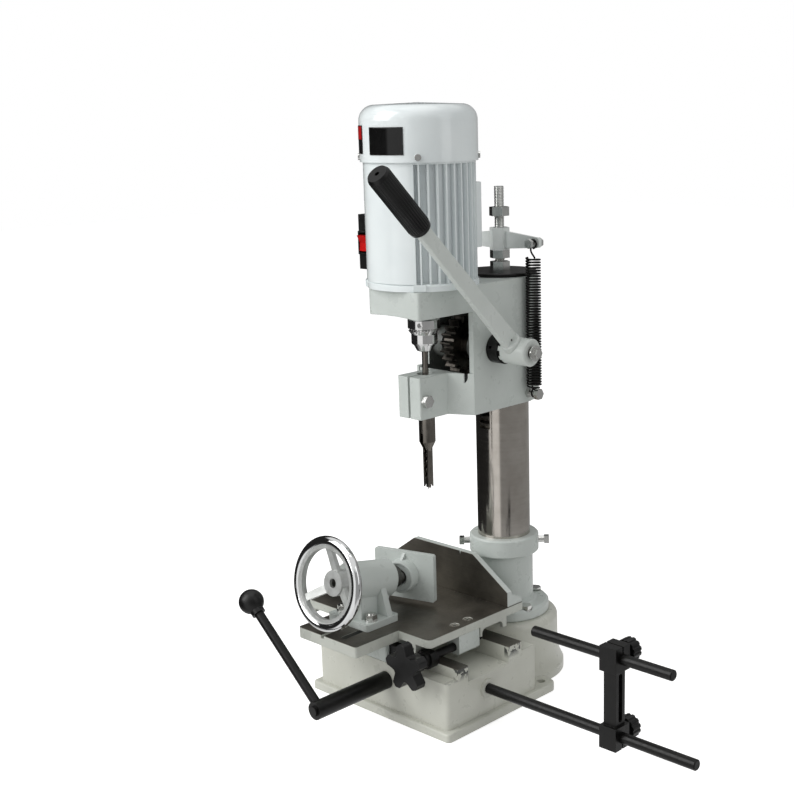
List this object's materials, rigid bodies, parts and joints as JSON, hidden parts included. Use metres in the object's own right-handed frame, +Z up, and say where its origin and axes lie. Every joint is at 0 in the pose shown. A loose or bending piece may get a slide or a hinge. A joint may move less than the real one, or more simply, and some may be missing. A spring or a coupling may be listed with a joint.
{
  "type": "benchtop mortiser",
  "caption": "Benchtop hollow-chisel mortiser with motor head on a column, lever feed, cross-sliding table, work clamp and length stop.",
  "frame": {"origin": "column axis at the underside of the base", "axes": "+Z up the column, +X to the operator's right, +Y away from the operator"},
  "size_m": [0.529, 0.389, 0.6995],
  "materials": {
    "cast_enamel": "semi-gloss enamel on sand-cast iron",
    "motor_enamel": "glossy light grey enamel",
    "ground_iron": "surface-ground cast iron, edges left in enamel",
    "lever_enamel": "light grey enamel",
    "ground_steel": "turned and ground steel",
    "zinc_steel": "zinc-plated steel",
    "bright_chrome": "bright plated and polished",
    "black_oxide": "blackened steel",
    "black_plastic": "moulded black plastic",
    "red_plastic": "glossy red plastic",
    "bearing_bronze": "plain bearing bronze"
  },
  "bodies": {
    "base": {"base_casting": "cast_enamel", "column_socket": "cast_enamel", "socket_bolts": "zinc_steel", "column": "ground_steel", "column_rack": "ground_steel", "column_cap": "black_oxide", "stroke_rod": "zinc_steel", "bracket_nuts": "zinc_steel", "spring_bracket": "zinc_steel", "return_springs": "black_oxide", "stop_post": "black_oxide"},
    "head": {"head_casting": "cast_enamel", "head_screws": "zinc_steel", "shaft_bushes": "bearing_bronze", "hollow_chisel": "ground_steel", "motor_shield": "motor_enamel", "motor_screws": "zinc_steel", "motor_bearings": "ground_steel", "motor_body": "motor_enamel", "stator": "ground_steel", "fan_cover": "motor_enamel", "capacitor_box": "motor_enamel", "switch_box": "black_plastic"},
    "rocker": {"switch_rocker": "red_plastic"},
    "spindle": {"rotor": "ground_steel", "cooling_fan": "black_plastic", "chuck_body": "bright_chrome", "auger_bit": "ground_steel"},
    "chuck_ring": {"chuck_sleeve": "bright_chrome"},
    "pinion": {"pinion_gear": "ground_steel", "pinion_shaft": "ground_steel", "drive_boss": "black_oxide", "hub_cap": "zinc_steel"},
    "lever": {"lever_hub": "lever_enamel", "lever_arm": "lever_enamel", "lever_grip": "black_plastic"},
    "saddle": {"saddle": "cast_enamel", "saddle_rack": "ground_steel", "saddle_gib": "ground_steel", "screw_bracket": "black_oxide"},
    "crank": {"crank_shaft": "black_oxide", "crank_arm": "black_oxide", "crank_ball": "black_plastic"},
    "table": {"table_casting": "ground_iron", "table_gib": "ground_steel", "feed_nut": "cast_enamel", "table_screws": "zinc_steel", "fence": "ground_iron"},
    "star": {"star_screw": "ground_steel", "star_knob": "black_plastic"},
    "clamp_stand": {"clamp_housing": "cast_enamel", "clamp_bolts": "zinc_steel"},
    "clamp_nose": {"pad_ball": "ground_steel"},
    "wheel": {"clamp_screw": "ground_steel", "handwheel": "bright_chrome"},
    "pad": {"clamp_pad": "cast_enamel"},
    "link": {"stop_link": "black_oxide"},
    "stop": {"stop_rod": "black_oxide"},
    "upper_knob": {"stop_knob_upper": "black_plastic"},
    "lower_knob": {"stop_knob_lower": "black_plastic"}
  },
  "joints": [
    {"name": "head_slide", "type": "slide", "parent": "base", "child": "head", "axis": [0, 0, 1], "range_m": [-0.06, 0], "stiffness_N_per_m": 1500, "springref_m": 0.16, "deforming": ["return_springs"]},
    {"name": "lever_turn", "type": "hinge", "parent": "head", "child": "pinion", "pos_m": [0, -0.062, 0.424], "axis": [1, 0, 0], "range_deg": [0, 104.4]},
    {"name": "lever_pull", "type": "slide", "parent": "pinion", "child": "lever", "axis": [1, 0, 0], "range_m": [0, 0.0033]},
    {"name": "switch_press", "type": "hinge", "parent": "head", "child": "rocker", "pos_m": [-0.073, -0.1455, 0.545], "axis": [1, 0, 0], "range_deg": [-14, 0]},
    {"name": "spindle_turn", "type": "hinge", "parent": "head", "child": "spindle", "pos_m": [0, -0.13, 0.45], "axis": [0, 0, 1], "continuous": true},
    {"name": "chuck_ring_turn", "type": "hinge", "parent": "spindle", "child": "chuck_ring", "pos_m": [0, -0.13, 0.44], "axis": [0, 0, 1], "range_deg": [-180, 0]},
    {"name": "saddle_slide", "type": "slide", "parent": "base", "child": "saddle", "axis": [1, 0, 0], "range_m": [-0.005, 0.06]},
    {"name": "crank_turn", "type": "hinge", "parent": "base", "child": "crank", "pos_m": [-0.0093, -0.24, 0.0442], "axis": [0, 1, 0], "range_deg": [-23.9, 286.5]},
    {"name": "table_slide", "type": "slide", "parent": "saddle", "child": "table", "axis": [0, 1, 0], "range_m": [-0.018, 0.006]},
    {"name": "star_turn", "type": "hinge", "parent": "saddle", "child": "star", "pos_m": [0.0508, -0.19, 0.0846], "axis": [0, 1, 0], "range_deg": [-1620, 540]},
    {"name": "stand_slide", "type": "slide", "parent": "table", "child": "clamp_stand", "axis": [0, 1, 0], "range_m": [-0.04, 0.014]},
    {"name": "clamp_slide", "type": "slide", "parent": "clamp_stand", "child": "clamp_nose", "axis": [0, 0.9816, -0.1908], "range_m": [-0.008, 0.024]},
    {"name": "wheel_turn", "type": "hinge", "parent": "clamp_stand", "child": "wheel", "pos_m": [-0.045, -0.252, 0.169], "axis": [0, 0.9816, -0.1908], "range_deg": [-720, 2160]},
    {"name": "pad_swivel", "type": "hinge", "parent": "clamp_nose", "child": "pad", "pos_m": [-0.045, -0.13617, 0.14648], "axis": [0, 0, 1], "range_deg": [-20, 0]},
    {"name": "link_slide", "type": "slide", "parent": "base", "child": "link", "axis": [1, 0, 0], "range_m": [-0.15, 0.09]},
    {"name": "stop_slide", "type": "slide", "parent": "link", "child": "stop", "axis": [1, 0, 0], "range_m": [-0.06, 0.09]},
    {"name": "upper_knob_turn", "type": "hinge", "parent": "link", "child": "upper_knob", "pos_m": [0.274, -0.115, 0.13], "axis": [0, 1, 0], "range_deg": [-180, 180]},
    {"name": "lower_knob_turn", "type": "hinge", "parent": "link", "child": "lower_knob", "pos_m": [0.274, -0.115, 0.041], "axis": [0, 1, 0], "range_deg": [-180, 180]}
  ],
  "couplings": [
    {"joint": "lever_turn", "follows": "head_slide", "rad_per_m": -30.303},
    {"joint": "crank_turn", "follows": "saddle_slide", "rad_per_m": 83.333},
    {"joint": "star_turn", "follows": "table_slide", "rad_per_m": 1570.8},
    {"joint": "clamp_slide", "follows": "wheel_turn", "m_per_rad": 0.00063662}
  ]
}
